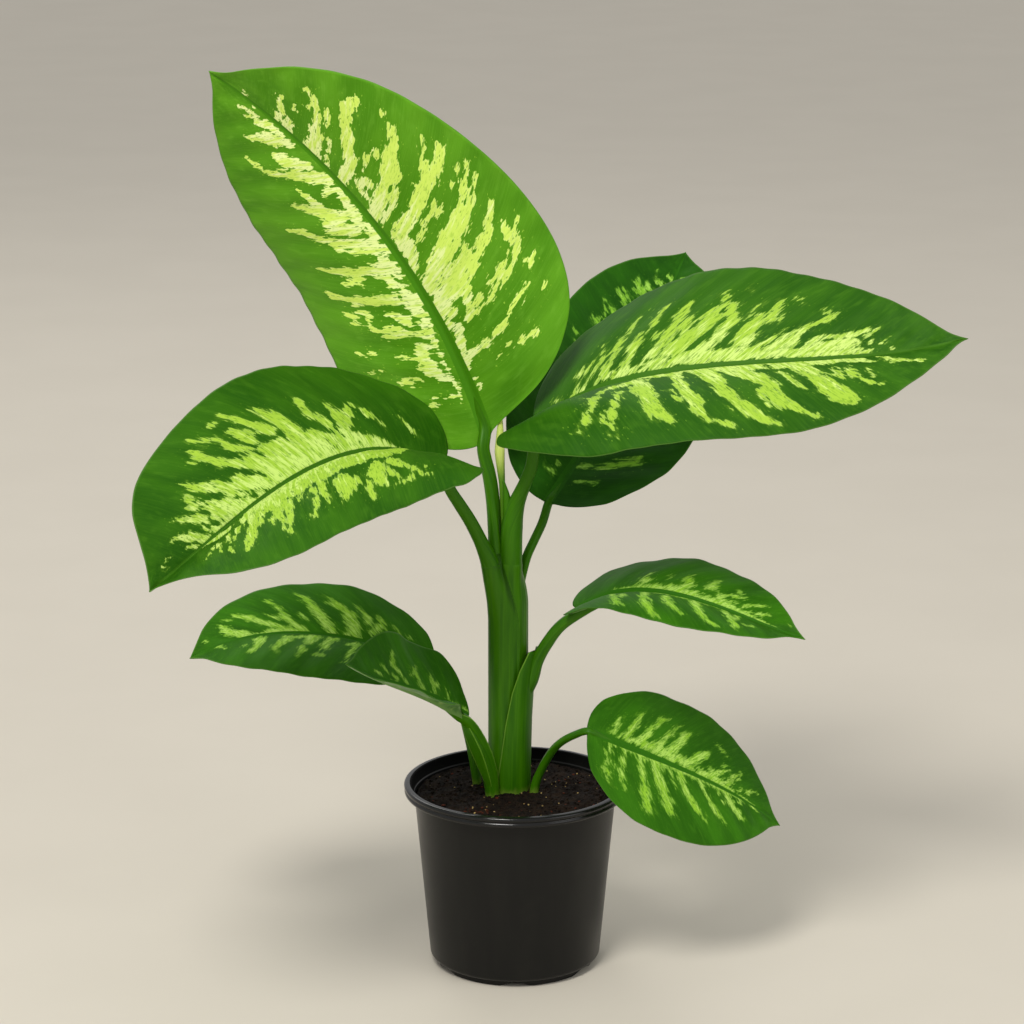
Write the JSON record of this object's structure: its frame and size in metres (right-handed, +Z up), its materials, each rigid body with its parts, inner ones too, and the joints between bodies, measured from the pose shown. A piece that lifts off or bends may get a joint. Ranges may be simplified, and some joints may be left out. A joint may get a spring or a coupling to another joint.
{
  "type": "potted dieffenbachia",
  "caption": "Leafy house plant with broad, waved, streaked blades on a thick cane, rooted in a filled black round nursery pot.",
  "frame": {"origin": "middle of the pot's flat underside, on the floor", "axes": "+Z up, -Y towards the side the picture shows, +X to the right in the picture"},
  "size_m": [0.5923, 0.4899, 0.6982],
  "materials": {
    "pot_plastic": "satin",
    "potting_soil": "matte",
    "cane_skin": "satin",
    "stalk_skin": "satin",
    "young_leaf_skin": "satin",
    "bright_blade": "satin",
    "dark_blade": "satin",
    "shaded_blade": "satin"
  },
  "bodies": {
    "root": {"pot": "pot_plastic", "soil": "potting_soil", "cane": "cane_skin", "young_leaf": "young_leaf_skin", "crown_stalk": "stalk_skin", "crown_leaf": "bright_blade", "right_stalk": "stalk_skin", "right_leaf": "dark_blade", "left_stalk": "stalk_skin", "left_leaf": "dark_blade", "back_stalk": "stalk_skin", "back_leaf": "shaded_blade", "lower_left_stalk": "stalk_skin", "lower_left_leaf": "dark_blade", "small_left_stalk": "stalk_skin", "small_left_leaf": "dark_blade", "side_stalk": "stalk_skin", "side_leaf": "dark_blade", "low_stalk": "stalk_skin", "low_leaf": "dark_blade"}
  },
  "joints": []
}
